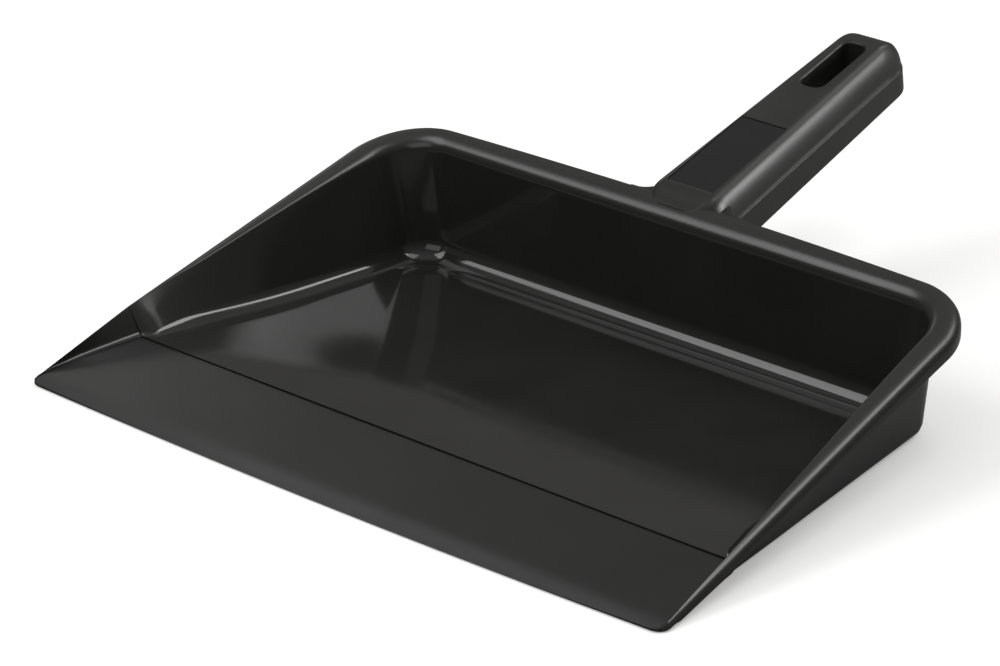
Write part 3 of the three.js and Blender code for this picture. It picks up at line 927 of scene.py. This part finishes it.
def make_floor():
    """A pale table, darker in reflections and with its shadows lifted for the camera."""
    bm = bmesh.new()
    bmesh.ops.create_circle(bm, cap_ends=True, segments=96, radius=FLOOR_RADIUS)
    obj = to_object("studio_floor", bm)
    obj.location.z = -FLOOR_BELOW
    nodes = Nodes("pale_floor")
    shader = nodes.shader.inputs
    tone = nodes.spread(nodes.noise(*TABLE_MOTTLE), *TABLE_BAND, 0.0, 1.0)
    path = nodes.add("ShaderNodeLightPath").outputs
    shade = nodes.add("ShaderNodeVectorMath", operation="SCALE")
    nodes.link(nodes.colours(tone, *FLOOR_TONES), shade.inputs[0])
    nodes.link(nodes.spread(path["Is Glossy Ray"], 0, 1, 1, REFLECTED_FLOOR), shade.inputs["Scale"])
    nodes.link(shade.outputs[0], shader["Base Color"])
    shader["Emission Color"].default_value = GLOW_COLOUR
    nodes.link(nodes.spread(path["Is Camera Ray"], 0, 1, 0, FLOOR_GLOW), shader["Emission Strength"])
    shader["Roughness"].default_value = FLOOR_ROUGHNESS
    shader["Specular IOR Level"].default_value = FLOOR_SPECULAR
    obj.data.materials.append(nodes.material)


def softbox(name, direction, distance, width, height, radiance, lit=()):
    """A rectangular light that faces the object, given by the radiance it shows.

    It is screened off from everything but the lit objects, if any are named.
    """
    data = bpy.data.lights.new(name, "AREA")
    data.shape = "RECTANGLE"
    data.size = width
    data.size_y = height
    data.energy = radiance * math.pi * width * height
    obj = bpy.data.objects.new(name, data)
    obj.location = LIGHTS_AIM + Vector(direction).normalized() * distance
    obj.rotation_euler = Vector(direction).to_track_quat("Z", "Y").to_euler()
    bpy.context.scene.collection.objects.link(obj)
    if lit:
        group = bpy.data.collections.new(name + "_lit")
        for receiver in lit:
            group.objects.link(receiver)
        obj.light_linking.receiver_collection = group


def make_world():
    """A sky that brightens upwards for the object, and an even backdrop for the camera."""
    world = bpy.data.worlds.new("studio")
    bpy.context.scene.world = world
    world.use_nodes = True
    tree = world.node_tree
    coordinates = tree.nodes.new("ShaderNodeTexCoord")
    split = tree.nodes.new("ShaderNodeSeparateXYZ")
    ramp = tree.nodes.new("ShaderNodeValToRGB")
    stops = ramp.color_ramp.elements
    while len(stops) < len(SKY):
        stops.new(SKY[len(stops) - 1][0])
    for stop, (height, colour) in zip(stops, SKY):
        stop.position = height
        stop.color = (*colour, 1)
    tree.links.new(coordinates.outputs["Generated"], split.inputs[0])
    tree.links.new(split.outputs["Z"], ramp.inputs["Fac"])
    seen = tree.nodes.new("ShaderNodeLightPath").outputs["Is Camera Ray"]
    choice = tree.nodes.new("ShaderNodeMix")
    choice.data_type = "RGBA"
    choice.inputs["B"].default_value = (*BACKDROP, 1)
    tree.links.new(seen, choice.inputs["Factor"])
    tree.links.new(ramp.outputs["Color"], choice.inputs["A"])
    tree.links.new(choice.outputs["Result"], tree.nodes["Background"].inputs["Color"])


def make_camera():
    data = bpy.data.cameras.new("camera")
    data.lens = LENS
    data.sensor_width = SENSOR
    camera = bpy.data.objects.new("camera", data)
    level = Vector((math.sin(VIEW_AZIMUTH), -math.cos(VIEW_AZIMUTH), 0.0))
    upright = Vector((0.0, 0.0, 1.0))
    back = level * math.cos(VIEW_ELEVATION) + upright * math.sin(VIEW_ELEVATION)
    camera.location = row(VIEW_AIM) + back * VIEW_DISTANCE
    camera.rotation_euler = back.to_track_quat("Z", "Y").to_euler()
    bpy.context.scene.collection.objects.link(camera)
    bpy.context.scene.camera = camera


make_floor()
make_world()
softbox("left_front", (-0.48, -0.48, 0.72), distance=1.8, width=0.8, height=1.0, radiance=4.6)
softbox("rear", (0.31, 0.69, 0.65), distance=1.9, width=0.8, height=0.6, radiance=4.6)
softbox(
    "right_rear", (0.49, 0.36, 0.79), distance=1.9, width=0.7, height=0.6, radiance=8.0,
    lit=(pan, flare_piece),
)
softbox(
    "handle_side", (0.82, 0.51, 0.26), distance=1.9, width=0.6, height=0.7, radiance=23.0,
    lit=(grip_upper, grip_lower, label_piece),
)
softbox(
    "lip_nose", (-0.60, 0.22, 0.77), distance=1.9, width=0.6, height=0.35, radiance=3.0,
    lit=(lip,),
)
softbox("left_crown", (-0.80, 0.46, 0.40), distance=1.9, width=0.3, height=0.25, radiance=2.3)
softbox("overhead", (0.3, 0.15, 0.93), distance=2.2, width=0.9, height=0.9, radiance=3.0)
softbox("front_fill", (0.1, -0.85, 0.5), distance=2.0, width=1.4, height=0.9, radiance=1.4)
make_camera()
bpy.context.scene.view_settings.view_transform = "Standard"
